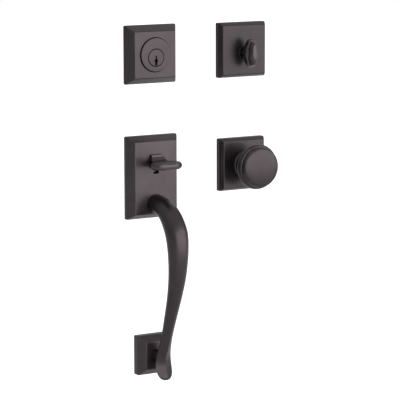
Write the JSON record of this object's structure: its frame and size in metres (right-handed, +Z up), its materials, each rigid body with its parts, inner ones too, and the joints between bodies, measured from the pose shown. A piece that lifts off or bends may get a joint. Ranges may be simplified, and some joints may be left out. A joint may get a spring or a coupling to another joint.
{
  "type": "entry door handleset",
  "caption": "Entry door handleset in dark bronze: deadbolt trim, thumb-latch handle plate with a curved grip and foot, and interior roses with an oval thumb turn and a round knob.",
  "frame": {"origin": "on the door's face, at the axis of the latch bore of the exterior handle trim", "axes": "+Z up; -Y out of the door towards the hand, +Y into the door's bores; +X towards the interior trims, laid out beside the exterior ones"},
  "size_m": [0.1944, 0.1347, 0.4251],
  "materials": {
    "bronze": "satin",
    "steel": "satin"
  },
  "bodies": {
    "trim": {"deadbolt_rose": "bronze", "deadbolt_cylinder": "bronze", "deadbolt_backplate": "steel", "turn_rose": "bronze", "turn_bushing": "bronze", "turn_plate": "steel", "turn_set_screw": "steel", "handle_plate": "bronze", "handle_backplate": "steel", "thumb_pin": "steel", "thumb_spring": "steel", "latch_housing": "steel", "post_left": "steel", "post_right": "steel", "backplate_screw_upper": "steel", "backplate_screw_lower": "steel", "grip": "bronze", "grip_screw": "steel", "foot": "bronze", "foot_stud": "steel", "knob_rose": "bronze", "knob_collar": "bronze", "knob_plate": "steel", "knob_rose_screw": "steel", "knob_spring": "steel"},
    "key": {"key_plug": "bronze", "plug_clip": "steel", "deadbolt_tailpiece": "steel"},
    "turn": {"thumb_turn": "bronze", "turn_hub": "steel", "turn_clip": "steel"},
    "thumb": {"thumb_piece": "bronze"},
    "cam": {"latch_cam": "steel", "cam_clip": "steel", "latch_tailpiece": "steel"},
    "knob": {"interior_knob": "bronze", "knob_spindle": "steel", "knob_set_screw": "steel", "knob_clip": "steel"}
  },
  "joints": [
    {"name": "key_turn", "type": "hinge", "parent": "trim", "child": "key", "pos_m": [0, 0, 0.1363], "axis": [0, -1, 0], "range_deg": [-90, 90]},
    {"name": "thumb_turn_hinge", "type": "hinge", "parent": "trim", "child": "turn", "pos_m": [0.126, 0, 0.1363], "axis": [0, -1, 0], "range_deg": [0, 90]},
    {"name": "thumb_press", "type": "hinge", "parent": "trim", "child": "thumb", "pos_m": [0, -0.009, 0.0055], "axis": [1, 0, 0], "range_deg": [0, 18], "stiffness_Nm_per_rad": 0.6, "springref_deg": -22.92, "deforming": ["thumb_spring"]},
    {"name": "cam_turn", "type": "hinge", "parent": "trim", "child": "cam", "pos_m": [0, 0, 0], "axis": [0, -1, 0], "range_deg": [0, 24.5]},
    {"name": "knob_turn", "type": "hinge", "parent": "trim", "child": "knob", "pos_m": [0.126, 0, 0], "axis": [0, -1, 0], "range_deg": [-60, 60], "stiffness_Nm_per_rad": 0.4}
  ],
  "couplings": [
    {"joint": "cam_turn", "follows": "thumb_press", "ratio": 1.3611}
  ]
}
